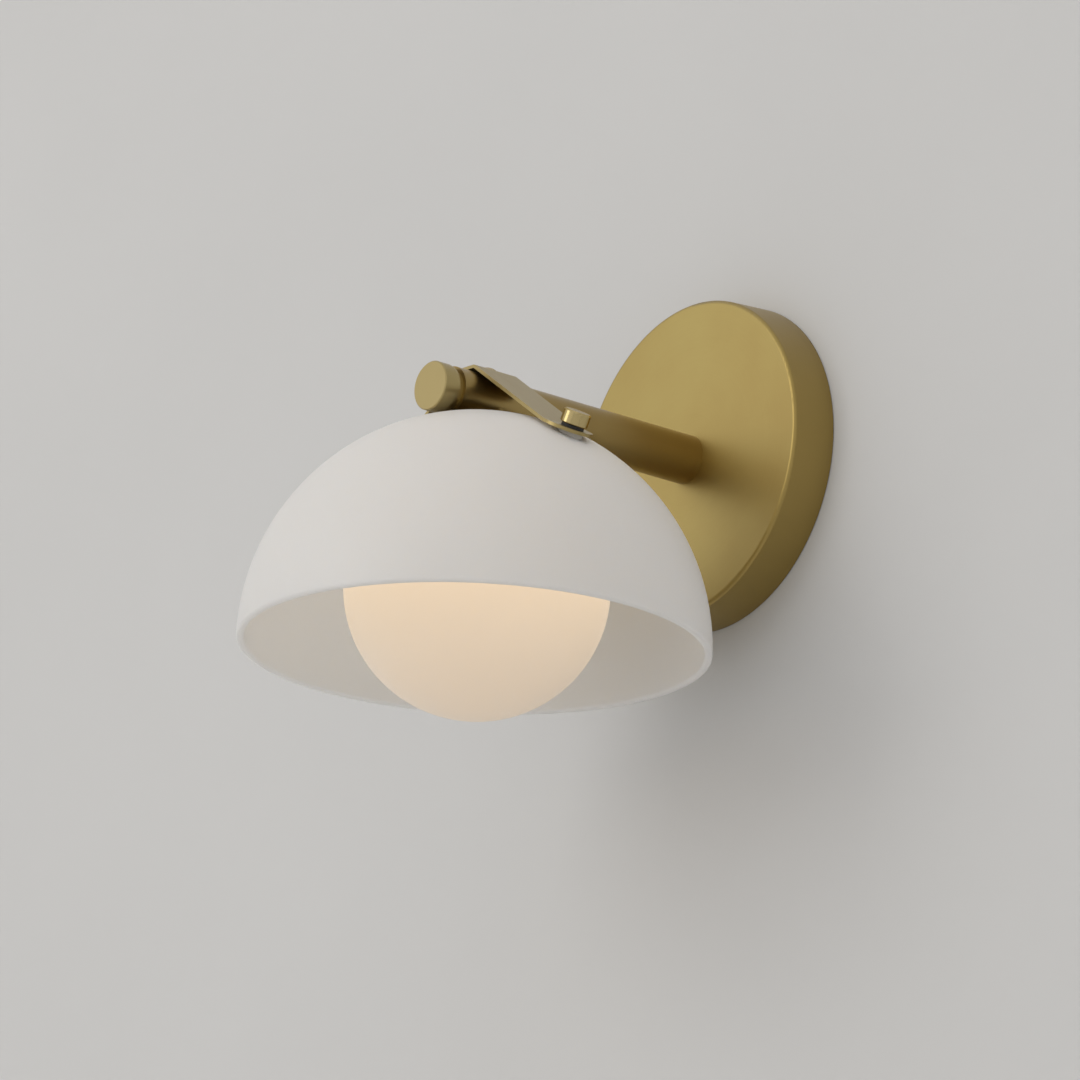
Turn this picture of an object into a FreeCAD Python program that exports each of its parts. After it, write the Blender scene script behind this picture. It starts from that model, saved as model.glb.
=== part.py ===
import FreeCAD, Part
import math
import os
import re
import Sketcher
from FreeCAD import Placement, Rotation, Vector

# Wall sconce: a shallow round canopy, a plain arm, and a hemispherical glass shade hung open side
# down under the arm by a folded strap, with an opal globe inside it.
# Frame: origin at the middle of the canopy's back on the wall, +Y into the wall, +Z up, millimetres.

SIZES = [
    # canopy: a spun dish, and the bracket behind it
    ("canopy_back_radius", 63.5), ("canopy_taper", 1.0), ("canopy_depth", 18.5),
    ("canopy_wall", 1.2), ("canopy_edge_radius", 1.4),
    ("bracket_width", 24.0), ("bracket_plate", 2.0), ("bracket_ear", 12.0),
    ("ear_gap", 2.2), ("bracket_bend", 1.0), ("wire_hole_radius", 9.0),
    ("box_screw_spacing", 88.9), ("box_slot_radius", 2.4), ("box_slot_travel", 6.0),
    ("canopy_screw_inset", 6.5), ("canopy_screw_radius", 1.5), ("canopy_screw_head", 2.2),
    ("canopy_screw_rise", 1.1), ("canopy_screw_reach", 6.5),
    ("ground_screw_offset", 22.0), ("ground_screw_radius", 2.2), ("ground_head_radius", 4.2),
    ("ground_head_height", 2.6),
    # arm
    ("tube_radius", 9.5), ("tube_wall", 1.5), ("tube_past_dome", 17.5),
    ("plug_length", 14.0), ("nipple_radius", 5.0), ("nipple_bore", 3.6), ("nipple_grip", 10.0),
    ("nipple_tail", 8.5), ("washer_plate", 1.0), ("washer_radius", 8.6), ("nut_flats", 15.0),
    ("nut_height", 3.2), ("bushing_radius", 6.4), ("bushing_lip", 2.0), ("bushing_sleeve", 4.0),
    ("bushing_wall", 0.7),
    # cap on the free end of the arm
    ("cap_length", 5.9), ("cap_step_length", 1.4), ("cap_step", 0.5), ("cap_groove", 2.4),
    ("cap_groove_depth", 1.8), ("spigot_clearance", 1.5), ("cap_edge", 0.4),
    # glass shade
    ("dome_radius", 89.0), ("dome_wall", 3.0), ("arm_above_glass", 0.18), ("dome_skirt", 0.6),
    ("dome_axis_reach", 118.0), ("dome_mouth_radius", 20.0), ("dome_rim_rounding", 1.2),
    # strap
    ("strap_width", 20.0), ("strap_plate", 1.3), ("strap_rise", 0.5), ("strap_crown", 4.6),
    ("strap_bend", 2.5), ("foot_angle", 28.0), ("foot_place_angle", 34.73), ("foot_inner", 5.8),
    ("foot_outer", 6.5), ("foot_tip_width", 1.2), ("foot_pad", 1.0), ("foot_pad_radius", 5.0),
    ("strap_screw_radius", 1.9), ("strap_screw_head", 3.7), ("strap_screw_rise", 1.2),
    ("strap_screw_reach", 6.5),
    # knobs and what clamps the glass under them
    ("knob_radius", 5.3), ("knob_height", 5.2), ("knob_chamfer", 0.6), ("knob_roof", 1.2),
    ("knob_washer", 1.3), ("knob_washer_radius", 4.4), ("stud_radius", 2.0),
    ("stud_head_radius", 4.5), ("stud_head_height", 1.8), ("glass_hole_radius", 3.6),
    ("inner_pad", 1.2), ("inner_pad_radius", 6.4), ("inner_washer", 0.8),
    # stem and what closes the crown of the glass
    ("stem_top", 1.2), ("stem_nut_flats", 12.0), ("stem_nut_height", 2.6), ("stem_nut_drop", 4.4),
    ("collar_radius", 8.5), ("plate_overlap", 3.5), ("plate_thickness", 1.5),
    ("seal_thickness", 0.8), ("seal_width", 3.0),
    # globe, its fitter and the lamp in it
    ("fitter_wall", 1.4), ("fitter_height", 10.5), ("fitter_gap", 0.8),
    ("globe_radius", 50.0), ("globe_wall", 2.0), ("globe_neck_radius", 17.0),
    ("globe_neck_rise", 4.4), ("globe_neck_gap", 1.43), ("grub_radius", 1.5), ("grub_drop", 6.5),
    ("lower_nut_height", 2.4), ("holder_radius", 9.0), ("holder_length", 18.0),
    ("holder_socket", 6.0), ("lamp_base_radius", 5.0), ("lamp_base_length", 9.0),
    ("bulb_radius", 7.0), ("bulb_length", 34.0),
    # fits
    ("fit", 0.03), ("hole_play", 0.2), ("slot_width", 0.8), ("slot_depth", 0.7),
]

# Places and sizes that follow from the sizes above.
FOLLOWS = {
    "tube_bore": "(tube_radius - tube_wall)",
    "arm_end": "(dome_axis_reach + tube_past_dome)",
    "tube_length": "(arm_end - canopy_depth)",
    "canopy_front_radius": "(canopy_back_radius - canopy_taper)",
    "ear_face": "(canopy_front_radius - canopy_wall - ear_gap)",
    "rim_at_screw": "(canopy_back_radius - canopy_taper"
                    " * (canopy_screw_inset - canopy_screw_head) / canopy_depth + fit)",
    "nut_corner": "(nut_flats / 2 / cos(30))",
    "stem_nut_corner": "(stem_nut_flats / 2 / cos(30))",
    "cap_spigot": "(tube_past_dome - stem_nut_corner - spigot_clearance)",
    "dome_bore": "(dome_radius - dome_wall)",
    "dome_centre_drop": "(tube_radius + arm_above_glass"
                        " + sqrt(dome_radius ^ 2 - dome_mouth_radius ^ 2))",
    "foot_seat": "(dome_radius * sin(foot_place_angle))",
    "glass_height": "(dome_radius * cos(foot_place_angle) - dome_centre_drop)",
    "foot_top": "(foot_pad + strap_plate)",
    "foot_corner": "(strap_width / 2 - foot_tip_width / 2)",
    "foot_x": "(foot_seat + foot_top * sin(foot_angle))",
    "foot_z": "(glass_height + foot_top * cos(foot_angle))",
    "bend_x": "(foot_x - foot_inner * cos(foot_angle))",
    "bend_z": "(foot_z + foot_inner * sin(foot_angle))",
    "crown_z": "(tube_radius + strap_rise + strap_plate)",
    "leg_angle": "(atan((crown_z - bend_z) / (bend_x - strap_crown)) / 1 deg)",
    "crown_mitre": "(strap_plate / cos(leg_angle / 2))",
    "foot_mitre": "(strap_plate / cos((leg_angle - foot_angle) / 2))",
    "foot_bisector": "((leg_angle + foot_angle) / 2)",
    "glass_inside": "(dome_wall / cos(foot_place_angle - foot_angle))",
    "plate_radius": "(dome_mouth_radius + plate_overlap)",
    "plate_top": "(sqrt(dome_bore ^ 2 - plate_radius ^ 2) - dome_centre_drop - seal_thickness)",
    "plate_low": "(plate_top - plate_thickness)",
    "fitter_bore": "(globe_neck_radius + fitter_gap)",
    "fitter_radius": "(fitter_bore + fitter_wall)",
    "fitter_floor": "(plate_low - fitter_wall)",
    "globe_neck_top": "(globe_radius + globe_neck_rise)",
    "globe_drop": "(globe_neck_top + globe_neck_gap - fitter_floor)",
    "holder_top": "(fitter_floor - lower_nut_height)",
    "holder_low": "(holder_top - holder_length)",
    "lamp_top": "(holder_low + holder_socket)",
}

doc = FreeCAD.newDocument("WallSconce")
sheet = doc.addObject("Spreadsheet::Sheet", "Sizes")
for row, (word, number) in enumerate(SIZES, 1):
    sheet.set("A%d" % row, word)
    sheet.set("B%d" % row, str(number))
    sheet.setAlias("B%d" % row, word)
doc.recompute()

WORDS = {word for word, number in SIZES}


def formula(text):
    """Write a size rule in the sheet's own names."""
    def swap(match):
        word = match.group(0)
        if word in FOLLOWS:
            return formula(FOLLOWS[word])
        return "Sizes." + word if word in WORDS else word
    return re.sub(r"[a-z][a-z_]*[a-z]|[a-z]", swap, str(text))


def value(text):
    """The number that a size rule gives."""
    return float(sheet.evalExpression(formula(text)))


def bind(thing, **rules):
    """Tie properties of an object to size rules."""
    for name, rule in rules.items():
        thing.setExpression(name, formula(rule))


def put(thing, x="0", y="0", z="0", turn=Rotation()):
    """Place an object: its position follows the sheet."""
    thing.Placement = Placement(Vector(value(x), value(y), value(z)), turn)
    for axis, rule in (("x", x), ("y", y), ("z", z)):
        thing.setExpression("Placement.Base." + axis, formula(rule))
    return thing


OUTWARD = Rotation(Vector(1, 0, 0), 90)      # local +Z points out of the wall
SIDES = (("left", -1), ("right", 1))


def lean(side):
    """Local +Z square to the strap's foot on one side."""
    return Rotation(Vector(0, 1, 0), side * value("foot_angle"))


# ---------------------------------------------------------------- sketches

def sketch_on(body, role, name):
    sketch = body.newObject("Sketcher::SketchObject", name)
    origin_plane = [part for part in body.Origin.OriginFeatures if part.Role == role][0]
    sketch.AttachmentSupport = [(origin_plane, "")]
    sketch.MapMode = "FlatFace"
    return sketch


def pin_down(sketch, edge, end, x, y, name):
    """Hold one point of a sketch at a place given by size rules."""
    for kind, rule, axis in (("DistanceX", x, -2), ("DistanceY", y, -1)):
        number = value(rule)
        if abs(number) < 1e-9:
            sketch.addConstraint(Sketcher.Constraint("PointOnObject", edge, end, axis))
            continue
        if number > 0:
            rule_here = Sketcher.Constraint(kind, -1, 1, edge, end, number)
        else:
            rule_here = Sketcher.Constraint(kind, edge, end, -1, 1, -number)
        index = sketch.addConstraint(rule_here)
        title = name + kind[-1].lower()
        sketch.renameConstraint(index, title)
        signed = formula(rule) if number > 0 else "-(" + formula(rule) + ")"
        sketch.setExpression("Constraints." + title, signed)


def arc_between(start, end, radius, way):
    """Arc of under a half circle; way is +1 anticlockwise, -1 clockwise."""
    chord = end - start
    rise = math.sqrt(radius ** 2 - (chord.Length / 2) ** 2)
    left = Vector(-chord.y, chord.x, 0).normalize()
    centre = (start + end) / 2 + left * rise * way
    angles = [math.atan2(spot.y - centre.y, spot.x - centre.x) for spot in (start, end)][::way]
    circle = Part.Circle(centre, Vector(0, 0, 1), radius)
    return Part.ArcOfCircle(circle, angles[0], angles[1])


def outline(sketch, corners):
    """Closed outline through corners (x, y), or (x, y, radius, way) where an arc leaves."""
    spots = [Vector(value(corner[0]), value(corner[1]), 0) for corner in corners]
    edges = []
    for index, corner in enumerate(corners):
        start = spots[index]
        end = spots[(index + 1) % len(spots)]
        if len(corner) == 2:
            edges.append((sketch.addGeometry(Part.LineSegment(start, end)), 1, 2))
            continue
        way = corner[3]
        edge = sketch.addGeometry(arc_between(start, end, value(corner[2]), way))
        edges.append((edge, 1, 2) if way > 0 else (edge, 2, 1))
    for index, (edge, first, last) in enumerate(edges):
        following = edges[(index + 1) % len(edges)]
        sketch.addConstraint(
            Sketcher.Constraint("Coincident", edge, last, following[0], following[1]))
        corner = corners[index]
        pin_down(sketch, edge, first, corner[0], corner[1], "corner%d" % index)
        if len(corner) > 2:
            number = sketch.addConstraint(
                Sketcher.Constraint("Radius", edge, value(corner[2])))
            sketch.renameConstraint(number, "arc%d" % index)
            sketch.setExpression("Constraints.arc%d" % index, formula(corner[2]))


def round_hole(sketch, radius, x="0", y="0", name="hole"):
    circle = Part.Circle(Vector(value(x), value(y), 0), Vector(0, 0, 1), value(radius))
    edge = sketch.addGeometry(circle)
    pin_down(sketch, edge, 3, x, y, name)
    number = sketch.addConstraint(Sketcher.Constraint("Radius", edge, value(radius)))
    sketch.renameConstraint(number, name + "_radius")
    sketch.setExpression("Constraints." + name + "_radius", formula(radius))


def long_hole(sketch, low, high, radius, name):
    """Slot with round ends along the sketch's Y axis, between two end centres."""
    size = value(radius)
    ends = []
    for rule, start in ((low, math.pi), (high, 0.0)):
        circle = Part.Circle(Vector(0, value(rule), 0), Vector(0, 0, 1), size)
        ends.append(sketch.addGeometry(Part.ArcOfCircle(circle, start, start + math.pi)))
    flanks = []
    for reach, first, last in ((size, low, high), (-size, high, low)):
        line = Part.LineSegment(Vector(reach, value(first), 0), Vector(reach, value(last), 0))
        flanks.append(sketch.addGeometry(line))
    ring = (ends[0], flanks[0], ends[1], flanks[1])
    for index, edge in enumerate(ring):
        following = ring[(index + 1) % 4]
        sketch.addConstraint(Sketcher.Constraint("Tangent", edge, 2, following, 1))
    sketch.addConstraint(Sketcher.Constraint("Equal", ends[0], ends[1]))
    pin_down(sketch, ends[0], 3, "0", low, name + "_low")
    pin_down(sketch, ends[1], 3, "0", high, name + "_high")
    number = sketch.addConstraint(Sketcher.Constraint("Radius", ends[0], size))
    sketch.renameConstraint(number, name + "_radius")
    sketch.setExpression("Constraints." + name + "_radius", formula(radius))


# ---------------------------------------------------------------- features

def new_body(name):
    body = doc.addObject("PartDesign::Body", name)
    body.Label = name
    return body


def turned(name, corners):
    """Body turned about local Z from a profile of (radius, height) corners."""
    body = new_body(name)
    profile = sketch_on(body, "XZ_Plane", name + "_profile")
    outline(profile, corners)
    turn = body.newObject("PartDesign::Revolution", name + "_turn")
    turn.Profile = profile
    turn.ReferenceAxis = (profile, ["V_Axis"])
    turn.Angle = 360
    doc.recompute()
    return body


def round_edges(body, radius, wanted):
    """Fillet the edges of a body's last feature that pass the test."""
    doc.recompute()
    tip = body.Tip
    names = ["Edge%d" % number for number, edge in enumerate(tip.Shape.Edges, 1) if wanted(edge)]
    fillet = body.newObject("PartDesign::Fillet", body.Name + "_fillet")
    fillet.Base = (tip, names)
    bind(fillet, Radius=radius)
    doc.recompute()


def driver_slot(body, top):
    """Straight slot across the head of a screw."""
    cut = sketch_on(body, "XZ_Plane", body.Name + "_slot_outline")
    outline(cut, [("-slot_width / 2", top + " - slot_depth"), ("slot_width / 2", top + " - slot_depth"),
                  ("slot_width / 2", top + " + 1"), ("-slot_width / 2", top + " + 1")])
    slot = body.newObject("PartDesign::Pocket", body.Name + "_slot")
    slot.Profile = cut
    slot.Type = "ThroughAll"
    slot.Midplane = True
    doc.recompute()


def hex_nut(name, corner, height, bore):
    body = new_body(name)
    section = sketch_on(body, "XY_Plane", name + "_section")
    outline(section, [("%s * cos(%d)" % (corner, turn), "%s * sin(%d)" % (corner, turn))
                      for turn in (0, 60, 120, 180, 240, 300)])
    if bore:
        round_hole(section, bore)
    pad = body.newObject("PartDesign::Pad", name + "_pad")
    pad.Profile = section
    bind(pad, Length=height)
    doc.recompute()
    return body


def ring(name, outer, inner, height):
    """Flat ring or washer standing on local Z = 0."""
    return turned(name, [(inner, "0"), (outer, "0"), (outer, height), (inner, height)])


def drill(name, radius, length):
    """Cylinder used to bore a hole; it isn't a piece of its own."""
    tool = doc.addObject("Part::Cylinder", name)
    bind(tool, Radius=radius, Height=length)
    return tool


def bored(name, blank, tools):
    """Blank with every tool cut out of it."""
    cutter = tools[0]
    if len(tools) > 1:
        cutter = doc.addObject("Part::MultiFuse", name + "_tools")
        cutter.Shapes = tools
    cut = doc.addObject("Part::Cut", name)
    cut.Base = blank
    cut.Tool = cutter
    cut.Label = name
    doc.recompute()
    return cut


def group(name, pieces):
    """Identical pieces kept together as separate solids."""
    bundle = doc.addObject("Part::Compound", name)
    bundle.Links = pieces
    bundle.Label = name
    doc.recompute()
    return bundle


def on_foot(thing, side, height="0"):
    """Stand a piece on the axis of one strap foot, height above the glass."""
    sign = "%d" % side
    return put(thing, sign + " * (foot_seat + (" + height + ") * sin(foot_angle))",
               "-dome_axis_reach", "glass_height + (" + height + ") * cos(foot_angle)", lean(side))


# ---------------------------------------------------------------- canopy and bracket

def make_canopy():
    blank = turned("canopy_blank", [
        ("nipple_radius + hole_play", "canopy_depth - canopy_wall"),
        ("canopy_front_radius - canopy_wall", "canopy_depth - canopy_wall"),
        ("canopy_back_radius - canopy_wall", "0"),
        ("canopy_back_radius", "0"),
        ("canopy_front_radius", "canopy_depth"),
        ("nipple_radius + hole_play", "canopy_depth")])
    front = value("canopy_depth")
    rim = value("canopy_front_radius")
    round_edges(blank, "canopy_edge_radius", lambda edge: len(edge.Vertexes) == 1
                and abs(edge.Vertexes[0].Z - front) < 1e-6
                and abs(edge.Curve.Radius - rim) < 1e-6)
    put(blank, turn=OUTWARD)
    hole = drill("canopy_screw_hole", "canopy_screw_radius + hole_play", "2 * canopy_back_radius + 4")
    put(hole, y="-canopy_screw_inset", z="-canopy_back_radius - 2")
    return bored("canopy", blank, [hole])


def make_bracket():
    """Strip of steel with an ear folded up at each end for the canopy's screws."""
    body = new_body("wall_bracket")
    profile = sketch_on(body, "YZ_Plane", "bracket_profile")
    outline(profile, [
        ("0", "-ear_face"), ("0", "ear_face"), ("-bracket_ear", "ear_face"),
        ("-bracket_ear", "ear_face - bracket_plate"), ("-bracket_plate", "ear_face - bracket_plate"),
        ("-bracket_plate", "-ear_face + bracket_plate"), ("-bracket_ear", "-ear_face + bracket_plate"),
        ("-bracket_ear", "-ear_face")])
    strip = body.newObject("PartDesign::Pad", "bracket_strip")
    strip.Profile = profile
    strip.Midplane = True
    bind(strip, Length="bracket_width")
    height = value("ear_face")
    inner = height - value("bracket_plate")
    plate = value("bracket_plate")
    round_edges(body, "bracket_bend", lambda edge: abs(abs(edge.CenterOfMass.z) - height) < 1e-6
                and abs(edge.CenterOfMass.y) < 1e-6
                or abs(abs(edge.CenterOfMass.z) - inner) < 1e-6
                and abs(edge.CenterOfMass.y + plate) < 1e-6)
    face = sketch_on(body, "XZ_Plane", "bracket_holes")
    round_hole(face, "wire_hole_radius", name="wires")
    round_hole(face, "ground_screw_radius + fit", y="ground_screw_offset", name="ground")
    long_hole(face, "box_screw_spacing / 2 - box_slot_travel / 2",
              "box_screw_spacing / 2 + box_slot_travel / 2", "box_slot_radius", "upper")
    long_hole(face, "-box_screw_spacing / 2 - box_slot_travel / 2",
              "-box_screw_spacing / 2 + box_slot_travel / 2", "box_slot_radius", "lower")
    holes = body.newObject("PartDesign::Pocket", "bracket_slots")
    holes.Profile = face
    holes.Type = "ThroughAll"
    holes.Midplane = True
    doc.recompute()
    top = sketch_on(body, "XY_Plane", "ear_holes")
    round_hole(top, "canopy_screw_radius + fit", y="-canopy_screw_inset", name="ear")
    tapped = body.newObject("PartDesign::Pocket", "ear_threads")
    tapped.Profile = top
    tapped.Type = "ThroughAll"
    tapped.Midplane = True
    doc.recompute()
    return body


def make_canopy_screws():
    screws = []
    for name, up in (("canopy_screw_top", 1), ("canopy_screw_bottom", -1)):
        screw = turned(name, [
            ("0", "-canopy_screw_reach"), ("canopy_screw_radius", "-canopy_screw_reach"),
            ("canopy_screw_radius", "0"), ("canopy_screw_head", "0"),
            ("canopy_screw_head", "canopy_screw_rise"), ("0", "canopy_screw_rise")])
        driver_slot(screw, "canopy_screw_rise")
        turn = Rotation(Vector(0, 0, 1), 90) if up > 0 else Rotation(Vector(1, 0, 0), 180)
        screws.append(put(screw, y="-canopy_screw_inset", z="%d * rim_at_screw" % up, turn=turn))
    return group("canopy_screws", screws)


def make_ground_screw():
    head = hex_nut("ground_screw", "ground_head_radius", "ground_head_height", None)
    shank = sketch_on(head, "XY_Plane", "ground_shank_section")
    round_hole(shank, "ground_screw_radius", name="shank")
    pad = head.newObject("PartDesign::Pad", "ground_shank")
    pad.Profile = shank
    pad.Reversed = True
    bind(pad, Length="bracket_plate - hole_play")
    return put(head, y="-bracket_plate", z="ground_screw_offset", turn=OUTWARD)


# ---------------------------------------------------------------- arm

def make_arm():
    blank = ring("arm_blank", "tube_radius", "tube_bore", "tube_length")
    put(blank, y="-canopy_depth", turn=OUTWARD)
    stem_hole = drill("stem_hole", "nipple_radius + hole_play", "tube_radius + 2")
    put(stem_hole, y="-dome_axis_reach", z="-tube_radius - 2")
    screw_hole = drill("strap_screw_hole", "strap_screw_radius + fit", "tube_radius + 2")
    put(screw_hole, y="-dome_axis_reach")
    return bored("arm_tube", blank, [stem_hole, screw_hole])


def make_arm_fixing():
    """Plug in the tube, hollow threaded nipple, lock washer, nut and wire bushing."""
    plug = ring("arm_plug", "tube_bore - fit", "nipple_radius + fit", "plug_length")
    put(plug, y="-canopy_depth", turn=OUTWARD)
    nipple = ring("arm_nipple", "nipple_radius", "nipple_bore",
                  "canopy_depth - nipple_tail + nipple_grip")
    put(nipple, y="-nipple_tail", turn=OUTWARD)
    washer = ring("arm_lock_washer", "washer_radius", "nipple_radius + hole_play", "washer_plate")
    put(washer, y="-canopy_depth + canopy_wall + washer_plate", turn=OUTWARD)
    nut = hex_nut("arm_nut", "nut_corner", "nut_height", "nipple_radius + fit")
    put(nut, y="-canopy_depth + canopy_wall + washer_plate + nut_height", turn=OUTWARD)
    bushing = turned("wire_bushing", [
        ("nipple_bore - bushing_wall", "-bushing_lip"), ("bushing_radius", "-bushing_lip"),
        ("bushing_radius", "0"), ("nipple_bore - fit", "0"), ("nipple_bore - fit", "bushing_sleeve"),
        ("nipple_bore - bushing_wall", "bushing_sleeve")])
    put(bushing, y="-nipple_tail", turn=OUTWARD)
    return [plug, nipple, washer, nut, bushing]


def make_end_cap():
    """Turned cap with a spigot in the tube and a groove that parts it from the arm."""
    cap = turned("end_cap", [
        ("0", "-cap_spigot"), ("tube_bore - fit", "-cap_spigot"), ("tube_bore - fit", "0"),
        ("tube_radius - cap_groove_depth", "0"), ("tube_radius - cap_groove_depth", "cap_groove"),
        ("tube_radius - cap_step", "cap_groove"),
        ("tube_radius - cap_step", "cap_groove + cap_step_length"),
        ("tube_radius", "cap_groove + cap_step_length + cap_step / 2"),
        ("tube_radius", "cap_groove + cap_step_length + cap_length - cap_edge"),
        ("tube_radius - cap_edge", "cap_groove + cap_step_length + cap_length"),
        ("0", "cap_groove + cap_step_length + cap_length")])
    return put(cap, y="-arm_end", turn=OUTWARD)


# ---------------------------------------------------------------- strap and glass shade

def make_strap():
    """Folded strip over the arm; each leg ends in a foot with round corners on the glass."""
    body = new_body("strap_blank")
    profile = sketch_on(body, "XZ_Plane", "strap_profile")
    top = [("strap_crown", "crown_z"), ("bend_x", "bend_z"),
           ("foot_x + foot_outer * cos(foot_angle)", "foot_z - foot_outer * sin(foot_angle)")]
    under = [(top[2][0] + " - strap_plate * sin(foot_angle)",
              top[2][1] + " - strap_plate * cos(foot_angle)"),
             ("bend_x - foot_mitre * sin(foot_bisector)", "bend_z - foot_mitre * cos(foot_bisector)"),
             ("strap_crown - crown_mitre * sin(leg_angle / 2)",
              "crown_z - crown_mitre * cos(leg_angle / 2)")]
    right = top + under
    left = [("-(" + x + ")", z) for x, z in reversed(right)]
    outline(profile, right + left)
    strip = body.newObject("PartDesign::Pad", "strap_strip")
    strip.Profile = profile
    strip.Midplane = True
    bind(strip, Length="strap_width")
    plate = value("strap_plate")
    edge_of_strip = value("strap_width") / 2
    tip_x = value(under[0][0])
    round_edges(body, "foot_corner", lambda edge: abs(edge.Length - plate) < 1e-6
                and abs(abs(edge.CenterOfMass.y) - edge_of_strip) < 1e-6
                and abs(edge.CenterOfMass.x) > tip_x)
    crown_x = value("strap_crown")
    crown_z = value("crown_z")
    round_edges(body, "strap_bend", lambda edge: abs(abs(edge.CenterOfMass.x) - crown_x) < 1e-6
                and abs(edge.CenterOfMass.z - crown_z) < 1e-6)
    put(body, y="-dome_axis_reach")
    holes = [put(drill("strap_crown_hole", "strap_screw_radius + hole_play", "4 * strap_plate"),
                 y="-dome_axis_reach", z="tube_radius - strap_plate")]
    for name, side in SIDES:
        tool = drill("strap_hole_" + name, "stud_radius + hole_play", "4 * strap_plate")
        holes.append(on_foot(tool, side, "foot_pad - strap_plate"))
    return bored("strap", body, holes)


def make_strap_screw():
    screw = turned("strap_screw", [
        ("0", "-strap_screw_reach"), ("strap_screw_radius", "-strap_screw_reach"),
        ("strap_screw_radius", "0"), ("strap_screw_head", "0"),
        ("strap_screw_head", "strap_screw_rise * 0.4"),
        ("strap_screw_head * 0.75", "strap_screw_rise"), ("0", "strap_screw_rise")])
    driver_slot(screw, "strap_screw_rise")
    return put(screw, y="-dome_axis_reach", z="crown_z")


def make_dome():
    """Blown hemisphere, open below, with a round mouth in its crown and a hole under each foot."""
    blank = turned("dome_blank", [
        ("dome_mouth_radius", "sqrt(dome_radius ^ 2 - dome_mouth_radius ^ 2)", "dome_radius", -1),
        ("dome_radius", "0"), ("dome_radius", "-dome_skirt"), ("dome_bore", "-dome_skirt"),
        ("dome_bore", "0", "dome_bore", 1),
        ("dome_mouth_radius", "sqrt(dome_bore ^ 2 - dome_mouth_radius ^ 2)")])
    rim = -value("dome_skirt")
    round_edges(blank, "dome_rim_rounding", lambda edge: len(edge.Vertexes) == 1
                and abs(edge.Vertexes[0].Z - rim) < 1e-6)
    put(blank, y="-dome_axis_reach", z="-dome_centre_drop")
    holes = []
    for name, side in SIDES:
        tool = drill("glass_hole_" + name, "glass_hole_radius", "4 * dome_wall")
        holes.append(on_foot(tool, side, "-2.5 * dome_wall"))
    return bored("glass_dome", blank, holes)


def against_glass(name, kind, radius, thickness, start, side, wall):
    """Soft ring between a foot or washer and the curved glass, shaped to the glass."""
    blank = drill(name + "_blank", radius, thickness)
    on_foot(blank, side, start)
    bore = drill(name + "_bore", "stud_radius + hole_play", thickness + " + 2")
    on_foot(bore, side, start + " - 1")
    ball = doc.addObject("Part::Sphere", name + "_glass")
    bind(ball, Radius=wall)
    put(ball, y="-dome_axis_reach", z="-dome_centre_drop")
    solid = bored(name + "_ring", blank, [bore])
    shaped = doc.addObject("Part::" + kind, name)
    shaped.Base = solid
    shaped.Tool = ball
    shaped.Label = name
    doc.recompute()
    return shaped


def make_clamp():
    """Rings, washers and studs that hold the glass to the strap's feet."""
    nodes = {"foot_gaskets": [], "inner_gaskets": [], "inner_washers": [], "dome_studs": [],
             "knob_washers": []}
    under = "glass_inside + inner_pad"
    for name, side in SIDES:
        nodes["foot_gaskets"].append(against_glass(
            "foot_gasket_" + name, "Cut", "foot_pad_radius", "foot_pad + 3", "-3", side, "dome_radius"))
        nodes["inner_gaskets"].append(against_glass(
            "inner_gasket_" + name, "Common", "inner_pad_radius", "inner_pad + 2",
            "-(" + under + ")", side, "dome_bore"))
        washer = ring("inner_washer_" + name, "inner_pad_radius", "stud_radius + hole_play",
                      "inner_washer")
        on_foot(washer, side, "-(" + under + " + inner_washer)")
        nodes["inner_washers"].append(washer)
        base = "(" + under + " + inner_washer)"
        reach = base + " + foot_top + knob_washer + knob_height - knob_roof - 0.2"
        stud = turned("dome_stud_" + name, [
            ("0", "-stud_head_height"), ("stud_head_radius * 0.7", "-stud_head_height"),
            ("stud_head_radius", "-stud_head_height * 0.4"), ("stud_head_radius", "0"),
            ("stud_radius", "0"), ("stud_radius", reach), ("0", reach)])
        on_foot(stud, side, "-" + base)
        nodes["dome_studs"].append(stud)
        soft = ring("knob_washer_" + name, "knob_washer_radius", "stud_radius + hole_play",
                    "knob_washer")
        on_foot(soft, side, "foot_top")
        nodes["knob_washers"].append(soft)
    return [group(name, pieces) for name, pieces in nodes.items()]


def make_knobs():
    """Low round knobs, one on each stud, that a hand turns to free the glass."""
    knobs = []
    for name, side in SIDES:
        knob = turned("thumb_knob_" + name, [
            ("stud_radius + fit", "0"), ("knob_radius - knob_chamfer / 2", "0"),
            ("knob_radius", "knob_chamfer / 2"), ("knob_radius", "knob_height - knob_chamfer"),
            ("knob_radius - knob_chamfer", "knob_height"), ("0", "knob_height"),
            ("0", "knob_height - knob_roof"), ("stud_radius + fit", "knob_height - knob_roof")])
        knobs.append(on_foot(knob, side, "foot_top + knob_washer + fit"))
    return knobs


# ---------------------------------------------------------------- stem and lamp

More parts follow.
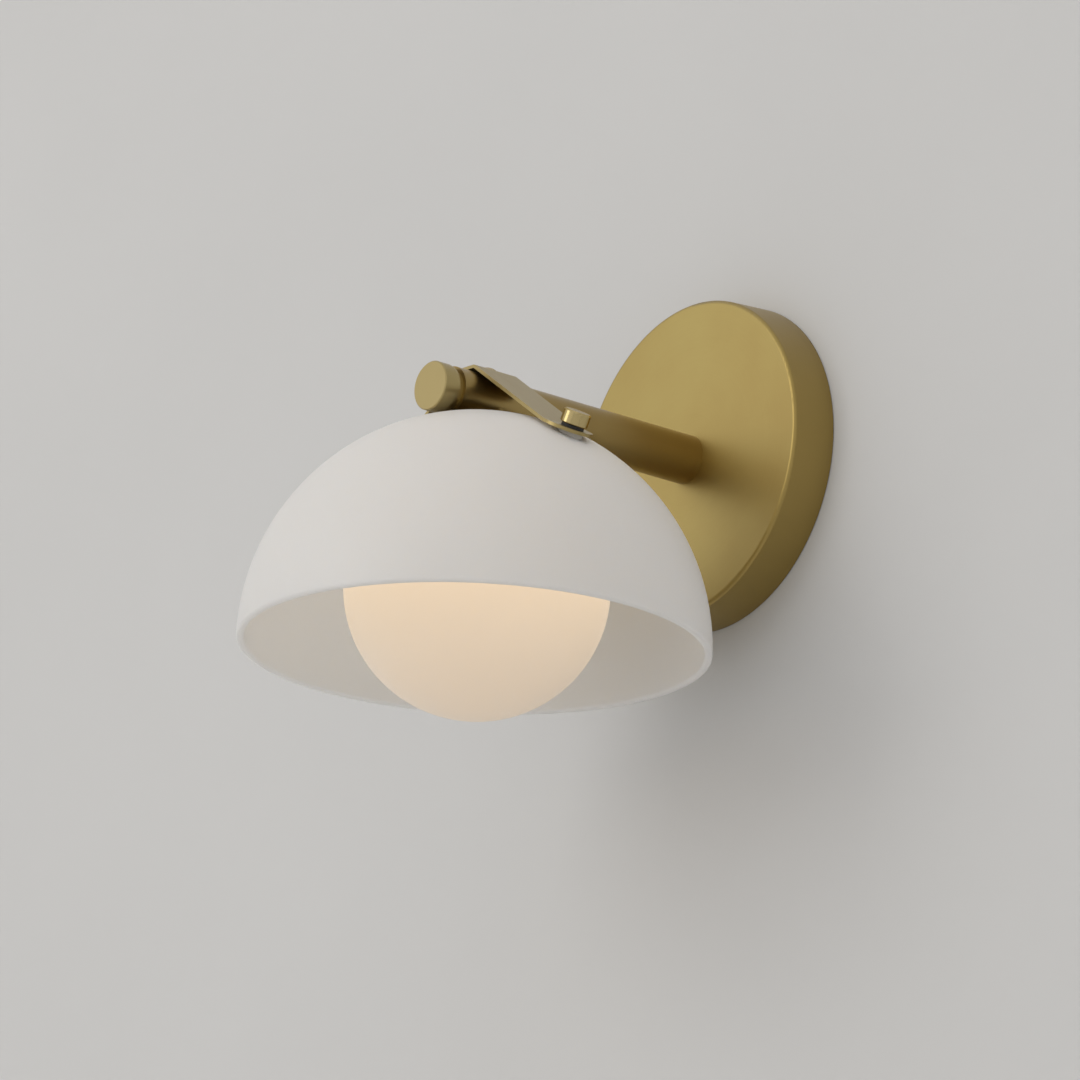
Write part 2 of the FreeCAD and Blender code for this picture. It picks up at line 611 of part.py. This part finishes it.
def make_stem():
    """Hollow stem through the arm's underside, with its collar, plate, seal and nuts."""
    nipple = ring("stem_nipple", "nipple_radius", "nipple_bore", "-stem_top - holder_top")
    put(nipple, y="-dome_axis_reach", z="holder_top")
    nut = hex_nut("stem_nut", "stem_nut_corner", "stem_nut_height", "nipple_radius + fit")
    put(nut, y="-dome_axis_reach", z="-stem_nut_drop", turn=Rotation(Vector(0, 0, 1), 30))
    collar_blank = ring("collar_blank", "collar_radius", "nipple_radius + hole_play",
                        "-plate_top - tube_radius / 3")
    put(collar_blank, y="-dome_axis_reach", z="plate_top")
    saddle = drill("collar_saddle", "tube_radius + fit", "4 * collar_radius")
    put(saddle, y="-dome_axis_reach + 2 * collar_radius", turn=OUTWARD)
    collar = bored("stem_collar", collar_blank, [saddle])
    plate = ring("crown_plate", "plate_radius", "nipple_radius + hole_play", "plate_thickness")
    put(plate, y="-dome_axis_reach", z="plate_low")
    seal_blank = ring("seal_blank", "plate_radius", "plate_radius - seal_width", "seal_thickness + 2")
    put(seal_blank, y="-dome_axis_reach", z="plate_top")
    glass = doc.addObject("Part::Sphere", "seal_glass")
    bind(glass, Radius="dome_bore")
    put(glass, y="-dome_axis_reach", z="-dome_centre_drop")
    seal = doc.addObject("Part::Common", "crown_seal")
    seal.Base = seal_blank
    seal.Tool = glass
    seal.Label = "crown_seal"
    lower = hex_nut("lower_nut", "stem_nut_corner", "lower_nut_height", "nipple_radius + fit")
    put(lower, y="-dome_axis_reach", z="holder_top")
    return [nipple, nut, collar, plate, seal, lower]


def make_fitter():
    """Cup that takes the globe's neck, held by three grub screws."""
    blank = turned("fitter_blank", [
        ("nipple_radius + hole_play", "0"), ("fitter_radius", "0"),
        ("fitter_radius", "-fitter_height"), ("fitter_bore", "-fitter_height"),
        ("fitter_bore", "-fitter_wall"), ("nipple_radius + hole_play", "-fitter_wall")])
    put(blank, y="-dome_axis_reach", z="plate_low")
    holes = []
    screws = []
    for number, turn in enumerate((30, 150, 270), 1):
        heading = Rotation(Vector(0, 0, 1), turn).multiply(Rotation(Vector(0, 1, 0), 90))
        middle = "globe_neck_radius + fit"
        place = {"x": "(%s) * cos(%d)" % (middle, turn),
                 "y": "-dome_axis_reach + (%s) * sin(%d)" % (middle, turn),
                 "z": "plate_low - grub_drop", "turn": heading}
        holes.append(put(drill("grub_hole_%d" % number, "grub_radius + fit", "fitter_gap + 4"), **place))
        screw = turned("globe_screw_%d" % number, [
            ("0", "0"), ("grub_radius", "0"), ("grub_radius", "fitter_gap + fitter_wall"),
            ("0", "fitter_gap + fitter_wall")])
        screws.append(put(screw, **place))
    return [bored("globe_fitter", blank, holes), group("globe_screws", screws)]


def make_globe():
    """Opal glass ball, one blown wall with a straight neck."""
    globe = turned("glass_globe", [
        ("0", "-globe_radius", "globe_radius", 1),
        ("globe_neck_radius", "sqrt(globe_radius ^ 2 - globe_neck_radius ^ 2)"),
        ("globe_neck_radius", "globe_neck_top"),
        ("globe_neck_radius - globe_wall", "globe_neck_top"),
        ("globe_neck_radius - globe_wall",
         "sqrt((globe_radius - globe_wall) ^ 2 - (globe_neck_radius - globe_wall) ^ 2)",
         "globe_radius - globe_wall", -1),
        ("0", "-globe_radius + globe_wall")])
    return put(globe, y="-dome_axis_reach", z="-globe_drop")


def make_lamp():
    """Ceramic holder, and a capsule lamp whose base plugs into it."""
    holder = turned("lamp_holder", [
        ("0", "0"), ("holder_radius", "0"), ("holder_radius", "-holder_length"),
        ("lamp_base_radius + hole_play", "-holder_length"),
        ("lamp_base_radius + hole_play", "-holder_length + holder_socket"),
        ("0", "-holder_length + holder_socket")])
    put(holder, y="-dome_axis_reach", z="holder_top")
    base = turned("lamp_base", [
        ("0", "0"), ("lamp_base_radius", "0"), ("lamp_base_radius", "-lamp_base_length"),
        ("0", "-lamp_base_length")])
    put(base, y="-dome_axis_reach", z="lamp_top")
    bulb = turned("lamp_bulb", [
        ("0", "0"), ("lamp_base_radius", "0"), ("bulb_radius", "-bulb_radius / 2"),
        ("bulb_radius", "-bulb_length + bulb_radius * 0.9", "bulb_radius", -1),
        ("0.5", "-bulb_length"), ("0", "-bulb_length")])
    put(bulb, y="-dome_axis_reach", z="lamp_top - lamp_base_length")
    return [holder, base, bulb]


nodes = [make_canopy(), make_bracket(), make_canopy_screws(), make_ground_screw(), make_arm()]
nodes += make_arm_fixing()
nodes += [make_end_cap(), make_strap(), make_strap_screw(), make_dome()]
nodes += make_clamp()
nodes += make_knobs()
nodes += make_stem()
nodes += make_fitter()
nodes += [make_globe()]
nodes += make_lamp()
doc.recompute()

faulty = [thing.Name for thing in doc.Objects
          if "Invalid" in thing.State or "Error" in thing.State]
faulty += [node.Label for node in nodes if node.Shape.isNull() or not node.Shape.isValid()]
if faulty:
    raise RuntimeError("not built: " + ", ".join(faulty))

os.makedirs("parts", exist_ok=True)
for node in nodes:
    node.Shape.exportStep("parts/" + node.Label + ".step")
    print("%-18s solids %d volume %.1f" % (node.Label, len(node.Shape.Solids), node.Shape.Volume))
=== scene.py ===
import math
import bpy
from mathutils import Matrix, Vector

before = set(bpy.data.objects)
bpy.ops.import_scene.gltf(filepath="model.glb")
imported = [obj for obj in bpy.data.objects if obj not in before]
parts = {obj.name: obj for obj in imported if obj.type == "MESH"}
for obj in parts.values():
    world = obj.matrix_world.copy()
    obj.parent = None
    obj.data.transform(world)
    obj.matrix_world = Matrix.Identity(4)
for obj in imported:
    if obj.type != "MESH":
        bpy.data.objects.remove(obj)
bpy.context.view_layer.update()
bpy.ops.object.select_all(action="DESELECT")

# ------------------------------------------------------------------ canopy
# Shallow round dish of spun brass, 127 mm across, that hides the wall box. Its face is brushed in
# rings on the lathe, lacquered satin, and its edge is rolled over at a small radius. Its rim and
# side carry a painted shade, a darker brass standing in for the dim wall they face.
SATIN_BRASS = (0.44, 0.335, 0.11)
TARNISH = (0.40, 0.29, 0.09)
# painted shade: the canopy's rim and side darkened for the dim wall they reflect
RIM_PAINTED_SHADE = (0.36, 0.255, 0.075)
CANOPY_FACE = 0.0608          # radius at which the face starts to roll over into the rim
CANOPY_ROLL = 0.0016          # metres over which its tone turns into the rim's painted shade
BRUSHED_LINE = 0.0002         # metres from one brushed line to the next
BRUSHED_DEPTH = 0.00002
CLOUDS_PER_METRE = 24.0
LACQUER = 0.3                 # share of the surface's gloss that is lacquer
LACQUER_ROUGHNESS = 0.35


def new_material(name):
    """Empty node material; returns it with its node tree and shader."""
    material = bpy.data.materials.new(name)
    material.use_nodes = True
    tree = material.node_tree
    return material, tree, tree.nodes["Principled BSDF"]


def add_node(tree, kind, settings=None, inputs=None):
    """New node with its settings, and its inputs set to values or joined to other sockets."""
    node = tree.nodes.new(kind)
    for name, value in (settings or {}).items():
        setattr(node, name, value)
    for name, value in (inputs or {}).items():
        if isinstance(value, bpy.types.NodeSocket):
            tree.links.new(value, node.inputs[name])
        else:
            node.inputs[name].default_value = value
    return node


def spread(tree, socket, low, high):
    """Map the middle of a noise pattern, 0.3 to 0.7, on to the range low to high."""
    node = add_node(tree, "ShaderNodeMapRange", inputs={"Value": socket, "From Min": 0.3,
                    "From Max": 0.7, "To Min": low, "To Max": high})
    return node.outputs["Result"]


def blend_colours(tree, factor, first, second):
    """Mix two colours, each a plain colour or the output of another node."""
    node = add_node(tree, "ShaderNodeMix", {"data_type": "RGBA"})
    tree.links.new(factor, node.inputs["Factor"])
    for number, colour in ((6, first), (7, second)):
        if isinstance(colour, bpy.types.NodeSocket):
            tree.links.new(colour, node.inputs[number])
        else:
            node.inputs[number].default_value = (*colour, 1.0)
    return node.outputs[2]


def satin_brass(name, brushing, rough=0.36, colour=SATIN_BRASS, dull=TARNISH, edge=None):
    """Satin lacquered brass with fine brushed lines and a slow cloudy tone.

    Brushing is "rings" for what turned on the arm's axis, "along" for what was drawn along the arm,
    "across" for strip drawn from left to right, and "fine" for small polished pieces. Edge
    leaves the lacquer off and tints what shines off at a low angle, which would turn white.
    """
    material, tree, shader = new_material(name)
    place = add_node(tree, "ShaderNodeTexCoord").outputs["Object"]
    if brushing == "rings":
        axes = add_node(tree, "ShaderNodeSeparateXYZ", inputs={0: place}).outputs
        square = add_node(tree, "ShaderNodeCombineXYZ", inputs={0: axes["X"], 1: axes["Z"]})
        radius = add_node(tree, "ShaderNodeVectorMath", {"operation": "LENGTH"},
                          {0: square.outputs["Vector"]}).outputs["Value"]
        drawn = add_node(tree, "ShaderNodeCombineXYZ", inputs={0: radius, 1: axes["Y"]})
        painted_rim_shade_mask = add_node(tree, "ShaderNodeMapRange", inputs={
            "Value": radius, "From Min": CANOPY_FACE,
            "From Max": CANOPY_FACE + CANOPY_ROLL})
    else:
        stretch = {"along": (1.0, 0.02, 1.0), "across": (0.02, 1.0, 0.02), "fine": (1.0, 1.0, 1.0)}
        drawn = add_node(tree, "ShaderNodeMapping", inputs={
            "Vector": place, "Scale": stretch[brushing]})
    lines = add_node(tree, "ShaderNodeTexNoise", inputs={
        "Vector": drawn.outputs["Vector"], "Scale": 0.5 / BRUSHED_LINE, "Detail": 2.0})
    cloud = add_node(tree, "ShaderNodeTexNoise", inputs={
        "Vector": place, "Scale": CLOUDS_PER_METRE, "Detail": 4.0, "Roughness": 0.5})
    tone = blend_colours(tree, spread(tree, cloud.outputs["Fac"], 0.0, 1.0), colour, dull)
    # past the face's edge the tone darkens into the rim's painted shade
    if brushing == "rings":
        tone = blend_colours(tree, painted_rim_shade_mask.outputs["Result"], tone, RIM_PAINTED_SHADE)
    roughness = add_node(tree, "ShaderNodeMath", {"operation": "ADD"}, {
        0: spread(tree, lines.outputs["Fac"], rough - 0.03, rough + 0.03),
        1: spread(tree, cloud.outputs["Fac"], -0.01, 0.03)})
    bump = add_node(tree, "ShaderNodeBump", inputs={
        "Height": lines.outputs["Fac"], "Strength": 0.06, "Distance": BRUSHED_DEPTH})
    shader.inputs["Metallic"].default_value = 1.0
    shader.inputs["Coat Roughness"].default_value = LACQUER_ROUGHNESS
    if edge:
        shader.inputs["Specular Tint"].default_value = (*edge, 1.0)
    else:
        shader.inputs["Coat Weight"].default_value = LACQUER
    tree.links.new(tone, shader.inputs["Base Color"])
    tree.links.new(roughness.outputs["Value"], shader.inputs["Roughness"])
    tree.links.new(bump.outputs["Normal"], shader.inputs["Normal"])
    return material


def finish(node, material):
    """Give a carried-over part its finish."""
    for slot in parts[node].material_slots:
        slot.material = material


finish("canopy", satin_brass("canopy_brass", "rings", 0.40))

# ------------------------------------------------------------------ bracket and its screws
# Zinc-plated steel strip with folded ears, screwed to the wall box, and a green earthing screw.
# The canopy hangs on two slotted brass screws through its rim, into the ears.
ZINC = (0.52, 0.53, 0.54)
GREEN_ZINC = (0.06, 0.26, 0.09)
SCREW_BRASS = (0.60, 0.48, 0.26)
SCREW_TARNISH = (0.54, 0.42, 0.22)
SPANGLES_PER_METRE = 420.0


def plated_steel(name, colour=ZINC, rough=0.38):
    """Zinc plating: pale spangle patches and faint rolling marks."""
    material, tree, shader = new_material(name)
    place = add_node(tree, "ShaderNodeTexCoord").outputs["Object"]
    spangle = add_node(tree, "ShaderNodeTexVoronoi", inputs={
        "Vector": place, "Scale": SPANGLES_PER_METRE})
    grime = add_node(tree, "ShaderNodeTexNoise", inputs={"Vector": place, "Scale": 90.0,
                                                         "Detail": 5.0})
    darker = tuple(part * 0.72 for part in colour)
    tone = blend_colours(tree, spread(tree, grime.outputs["Fac"], 0.0, 1.0), colour, darker)
    bump = add_node(tree, "ShaderNodeBump", inputs={
        "Height": spangle.outputs["Distance"], "Strength": 0.15, "Distance": 0.0001})
    shader.inputs["Metallic"].default_value = 1.0
    tree.links.new(tone, shader.inputs["Base Color"])
    tree.links.new(spread(tree, grime.outputs["Fac"], rough, rough + 0.15),
                   shader.inputs["Roughness"])
    tree.links.new(bump.outputs["Normal"], shader.inputs["Normal"])
    return material


steel = plated_steel("zinc_plated_steel")
finish("wall_bracket", steel)
finish("ground_screw", plated_steel("green_passivate", GREEN_ZINC, 0.32))
screw_brass = satin_brass("turned_screw_brass", "fine", 0.22, SCREW_BRASS, SCREW_TARNISH)
finish("canopy_screws", screw_brass)

# ------------------------------------------------------------------ arm and its fixing
# Drawn brass tube, 19 mm, brushed along its length, butted on the canopy's face. A plug in its end
# takes the hollow nipple, which a lock washer and nut hold from behind; a bushing guards the wires.
ARM_BRASS = (0.38, 0.275, 0.10)
ARM_TARNISH = (0.35, 0.245, 0.085)
arm_brass = satin_brass("arm_brass", "along", 0.32, ARM_BRASS, ARM_TARNISH)
finish("arm_tube", arm_brass)
for hidden in ("arm_plug", "arm_nipple", "arm_lock_washer", "arm_nut"):
    finish(hidden, steel)


def moulded_plastic(name, colour, rough, grain=900.0):
    """Fine eroded grain of a moulding tool, over a body colour with faint flow marks."""
    material, tree, shader = new_material(name)
    place = add_node(tree, "ShaderNodeTexCoord").outputs["Object"]
    pits = add_node(tree, "ShaderNodeTexNoise", inputs={"Vector": place, "Scale": grain,
                                                        "Detail": 2.0})
    flow = add_node(tree, "ShaderNodeTexNoise", inputs={"Vector": place, "Scale": 60.0})
    paler = tuple(part * 1.25 + 0.01 for part in colour)
    tone = blend_colours(tree, spread(tree, flow.outputs["Fac"], 0.0, 1.0), colour, paler)
    bump = add_node(tree, "ShaderNodeBump", inputs={
        "Height": pits.outputs["Fac"], "Strength": 0.2, "Distance": 0.0001})
    tree.links.new(tone, shader.inputs["Base Color"])
    tree.links.new(spread(tree, pits.outputs["Fac"], rough - 0.05, rough + 0.08),
                   shader.inputs["Roughness"])
    tree.links.new(bump.outputs["Normal"], shader.inputs["Normal"])
    return material


NYLON = (0.02, 0.02, 0.022)
finish("wire_bushing", moulded_plastic("black_nylon", NYLON, 0.5))

# ------------------------------------------------------------------ end cap
# Turned brass cap on the arm's free end, parted from the tube by a narrow dark groove. Its face is
# lathe brushed and its edge is broken by a fine bright chamfer.
CAP_BRASS = (0.45, 0.36, 0.16)
CAP_TARNISH = (0.42, 0.325, 0.135)
finish("end_cap", satin_brass("cap_brass", "rings", 0.34, CAP_BRASS, CAP_TARNISH))

# ------------------------------------------------------------------ strap and its screw
# Brass strip, 20 mm wide and 1.3 mm thick, folded over the arm down to two round-cornered feet.
# One low slotted screw through the fold pins it to the arm.
STRAP_BRASS = (0.41, 0.32, 0.135)
STRAP_TARNISH = (0.38, 0.29, 0.115)
finish("strap", satin_brass("strap_brass", "across", 0.36, STRAP_BRASS, STRAP_TARNISH))
finish("strap_screw", screw_brass)

# ------------------------------------------------------------------ glass shade
# Blown opal hemisphere, 178 mm across and 3 mm thick, etched satin outside and in. Its rim is ground
# and fire polished, and light creeps a little way into the wall.
OPAL = (0.925, 0.90, 0.86)
OPAL_WARM = (0.915, 0.885, 0.84)
OPAL_DEPTH = 0.012            # metres that light wanders in the wall
ETCH_PER_METRE = 1800.0


def satin_opal(name, colour, warm, rough, through, glow=None):
    """Etched opal glass: light wanders in its milky wall, and a share of it passes on, blurred.

    Glow is its warm and its dim colour, the heights between which it turns from dim to warm, and
    its strength. On the capsule it is the lamp's own light; on the globe it is painted glow.
    """
    material, tree, shader = new_material(name)
    place = add_node(tree, "ShaderNodeTexCoord").outputs["Object"]
    cloud = add_node(tree, "ShaderNodeTexNoise", inputs={"Vector": place, "Scale": 14.0,
                                                         "Detail": 3.0})
    etch = add_node(tree, "ShaderNodeTexNoise", inputs={"Vector": place, "Scale": ETCH_PER_METRE,
                                                        "Detail": 2.0})
    tone = blend_colours(tree, spread(tree, cloud.outputs["Fac"], 0.0, 1.0), colour, warm)
    bump = add_node(tree, "ShaderNodeBump", inputs={
        "Height": etch.outputs["Fac"], "Strength": 0.05, "Distance": 0.00003})
    tree.links.new(tone, shader.inputs["Base Color"])
    tree.links.new(spread(tree, etch.outputs["Fac"], rough - 0.04, rough + 0.04),
                   shader.inputs["Roughness"])
    tree.links.new(bump.outputs["Normal"], shader.inputs["Normal"])
    shader.inputs["IOR"].default_value = 1.45
    shader.inputs["Specular IOR Level"].default_value = 0.3
    shader.inputs["Subsurface Weight"].default_value = 1.0
    shader.inputs["Subsurface Radius"].default_value = (1.0, 0.95, 0.88)
    shader.inputs["Subsurface Scale"].default_value = OPAL_DEPTH
    shader.inputs["Transmission Weight"].default_value = through
    if glow:
        heart, dim, low, high, strength = glow
        level = add_node(tree, "ShaderNodeSeparateXYZ", inputs={0: place}).outputs["Z"]
        nearness = add_node(tree, "ShaderNodeMapRange", {"interpolation_type": "SMOOTHSTEP"}, {
            "Value": level, "From Min": low, "From Max": high})
        lit = blend_colours(tree, nearness.outputs["Result"], dim, heart)
        tree.links.new(lit, shader.inputs["Emission Color"])
        shader.inputs["Emission Strength"].default_value = strength
    return material


finish("glass_dome", satin_opal("satin_opal_shade", OPAL, OPAL_WARM, 0.45, 0.2))

# ------------------------------------------------------------------ clamps of the shade
# Under each foot a brass stud comes up through the glass, with soft rings on both faces of it so
# that metal never touches glass, and a black rubber washer under the knob. The rings are coloured
# the grey of the glass in shade, a painted shade under the feet, and the washer's near-black is
# partly a painted shade under the knob.
# painted shade: silicone greyed to the tone of the glass in shade under the feet
SILICONE_PAINTED_SHADE = (0.44, 0.42, 0.38)
# black rubber, its near-black also a painted shade under the knob
RUBBER_AND_PAINTED_SHADE = (0.012, 0.012, 0.012)
silicone_painted_shade = moulded_plastic("clear_silicone", SILICONE_PAINTED_SHADE, 0.6)
finish("foot_gaskets", silicone_painted_shade)
finish("inner_gaskets", silicone_painted_shade)
finish("inner_washers", screw_brass)
finish("dome_studs", screw_brass)
finish("knob_washers", moulded_plastic("black_rubber", RUBBER_AND_PAINTED_SHADE, 0.6))

# ------------------------------------------------------------------ thumb knobs
# Low round brass knobs with a broken top edge, turned by hand off the studs to free the shade.
# They are polished brighter than the strap, so they show sharp light and dark bands.
KNOB_BRASS = (0.56, 0.45, 0.22)
KNOB_TARNISH = (0.52, 0.41, 0.19)
KNOB_EDGE = (0.72, 0.62, 0.42)
knob_brass = satin_brass("knob_brass", "fine", 0.13, KNOB_BRASS, KNOB_TARNISH, edge=KNOB_EDGE)
finish("thumb_knob_left", knob_brass)
finish("thumb_knob_right", knob_brass)

# ------------------------------------------------------------------ stem, crown plate and fitter
# A hollow nipple comes down through the arm and carries a brass collar and a plate that closes the
# shade's crown on a soft seal. The globe's neck sits in a brass cup with three grub screws.
for hidden in ("stem_nipple", "stem_nut", "lower_nut", "globe_screws"):
    finish(hidden, steel)
finish("crown_seal", silicone_painted_shade)
for turned in ("stem_collar", "crown_plate", "globe_fitter"):
    finish(turned, arm_brass)

# ------------------------------------------------------------------ globe
# Opal glass ball, 100 mm across, blown with a straight neck. It is satin outside, with a soft warm
# glow painted on as emission for the lamp's light through it, strongest near the neck.
GLOW_HEART = (1.0, 0.82, 0.60)
GLOW_EDGE = (0.06, 0.05, 0.04)
GLOBE_OPAL = (0.69, 0.635, 0.565)
GLOBE_OPAL_WARM = (0.67, 0.61, 0.535)
# painted glow: emission on the globe standing in for the lamp's light through the glass
GLOBE_PAINTED_GLOW = (GLOW_HEART, GLOW_EDGE, -0.125, -0.035, 0.54)
finish("glass_globe", satin_opal("opal_globe_painted_glow", GLOBE_OPAL, GLOBE_OPAL_WARM, 0.5, 0.0, GLOBE_PAINTED_GLOW))

# ------------------------------------------------------------------ lamp and holder
# Glazed ceramic holder on the stem's end, with a frosted capsule lamp pushed into it.
CERAMIC = (0.72, 0.70, 0.65)
FROSTED = (0.9, 0.86, 0.78)
FROSTED_WARM = (0.88, 0.83, 0.74)
LAMP_GLOW = (GLOW_HEART, GLOW_EDGE, -0.09, -0.05, 1.0)
ceramic = moulded_plastic("glazed_ceramic", CERAMIC, 0.22, grain=250.0)
finish("lamp_holder", ceramic)
finish("lamp_base", ceramic)
finish("lamp_bulb", satin_opal("frosted_capsule", FROSTED, FROSTED_WARM, 0.3, 0.0, LAMP_GLOW))

# ------------------------------------------------------------------ wall and floor
# A plain pale wall that the light hangs on, with a round box opening behind the canopy, and a plain
# pale floor far below it. Both are seen from their front only, so that other views stay clear.
WALL_GREY = (0.655, 0.65, 0.64)
BOX_OPENING = 0.054           # radius
FLOOR_GREY = (0.86, 0.855, 0.845)
WALL_GAP = 0.0004             # the canopy's rim stands this far off the plaster
FLOOR_DEPTH = 1.75
ROOM_SIDE = 14.0


def plaster(name, colour, opening=0.0):
    """Matt paint on fine plaster, seen from the front only, with a round opening in its middle."""
    material, tree, shader = new_material(name)
    place = add_node(tree, "ShaderNodeTexCoord").outputs["Object"]
    mottle = add_node(tree, "ShaderNodeTexNoise", inputs={"Vector": place, "Scale": 5.0,
                                                          "Detail": 6.0})
    darker = tuple(part * 0.97 for part in colour)
    tone = blend_colours(tree, spread(tree, mottle.outputs["Fac"], 0.0, 1.0), colour, darker)
    tree.links.new(tone, shader.inputs["Base Color"])
    shader.inputs["Roughness"].default_value = 0.9
    shader.inputs["Specular IOR Level"].default_value = 0.15
    behind = add_node(tree, "ShaderNodeNewGeometry").outputs["Backfacing"]
    reach = add_node(tree, "ShaderNodeVectorMath", {"operation": "LENGTH"}, {0: place})
    open_hole = add_node(tree, "ShaderNodeMath", {"operation": "LESS_THAN"}, {
        0: reach.outputs["Value"], 1: opening})
    unseen = add_node(tree, "ShaderNodeMath", {"operation": "MAXIMUM"}, {
        0: behind, 1: open_hole.outputs["Value"]})
    clear = add_node(tree, "ShaderNodeBsdfTransparent")
    mixed = add_node(tree, "ShaderNodeMixShader", inputs={
        0: unseen.outputs["Value"], 1: shader.outputs["BSDF"], 2: clear.outputs["BSDF"]})
    tree.links.new(mixed.outputs["Shader"], tree.nodes["Material Output"].inputs["Surface"])
    return material


bpy.ops.mesh.primitive_plane_add(size=ROOM_SIDE, location=(0, WALL_GAP, 0), rotation=(math.pi / 2, 0, 0))
wall = bpy.context.object
wall.name = "wall"
wall.data.materials.append(plaster("wall_paint", WALL_GREY, BOX_OPENING))
bpy.ops.mesh.primitive_plane_add(size=ROOM_SIDE, location=(0, 0, -FLOOR_DEPTH))
floor = bpy.context.object
floor.name = "floor"
floor.data.materials.append(plaster("floor_paint", FLOOR_GREY))

# ------------------------------------------------------------------ light
# Soft studio light: a large panel in front, a little to the left and above, and a pale room all
# round that is a little darker above than below.
ROOM_LEVEL = 0.885
ROOM_BELOW = (0.91, 0.895, 0.875)
ROOM_ABOVE = (0.80, 0.80, 0.805)
PANEL_PLACE = Vector((-1.1, -3.4, 1.3))
PANEL_AIM = Vector((0.0, -0.10, -0.02))
PANEL_SIDE = 2.4
PANEL_WATTS = 29.0
PANEL_COLOUR = (1.0, 0.98, 0.95)
world = bpy.data.worlds.new("pale_room")
bpy.context.scene.world = world
world.use_nodes = True
air = world.node_tree
room = air.nodes["Background"]
upward = add_node(air, "ShaderNodeSeparateXYZ", inputs={
    0: add_node(air, "ShaderNodeTexCoord").outputs["Generated"]})
height = add_node(air, "ShaderNodeMapRange", inputs={
    "Value": upward.outputs["Z"], "From Min": -0.6, "From Max": 0.9})
tint = blend_colours(air, height.outputs["Result"], ROOM_BELOW, ROOM_ABOVE)
air.links.new(tint, room.inputs["Color"])
room.inputs["Strength"].default_value = ROOM_LEVEL
bpy.ops.object.light_add(type="AREA", location=PANEL_PLACE)
panel = bpy.context.object
panel.name = "key_panel"
panel.data.shape = "RECTANGLE"
panel.data.size = PANEL_SIDE
panel.data.size_y = PANEL_SIDE
panel.data.energy = PANEL_WATTS
panel.data.color = PANEL_COLOUR
panel.rotation_euler = (PANEL_AIM - PANEL_PLACE).to_track_quat("-Z", "Y").to_euler()

# ------------------------------------------------------------------ camera
# A long lens from the right of the light and from below it, nearly flat in perspective.
CAMERA_AZIMUTH = 50.7         # degrees to the right of facing the wall
CAMERA_HEIGHT = -16.75        # degrees above the arm; negative looks up at it
CAMERA_ROLL = 2.58
CAMERA_DISTANCE = 4.767
CAMERA_TARGET = Vector((-0.1083, 0.0, -0.0056))
LENS = 410.0                  # millimetres, on a 36 mm sensor
azimuth = math.radians(CAMERA_AZIMUTH)
elevation = math.radians(CAMERA_HEIGHT)
back = Vector((math.sin(azimuth) * math.cos(elevation),
               -math.cos(azimuth) * math.cos(elevation), math.sin(elevation)))
level_right = (-back).cross(Vector((0, 0, 1))).normalized()
level_up = level_right.cross(-back)
roll = math.radians(CAMERA_ROLL)
right = level_right * math.cos(roll) + level_up * math.sin(roll)
up = level_up * math.cos(roll) - level_right * math.sin(roll)
bpy.ops.object.camera_add()
camera = bpy.context.object
camera.name = "camera"
camera.matrix_world = (Matrix.Translation(CAMERA_TARGET + back * CAMERA_DISTANCE)
                       @ Matrix((right, up, back)).transposed().to_4x4())
camera.data.lens = LENS
camera.data.sensor_width = 36.0
camera.data.clip_end = 50.0
bpy.context.scene.camera = camera
bpy.context.scene.view_settings.view_transform = "Standard"
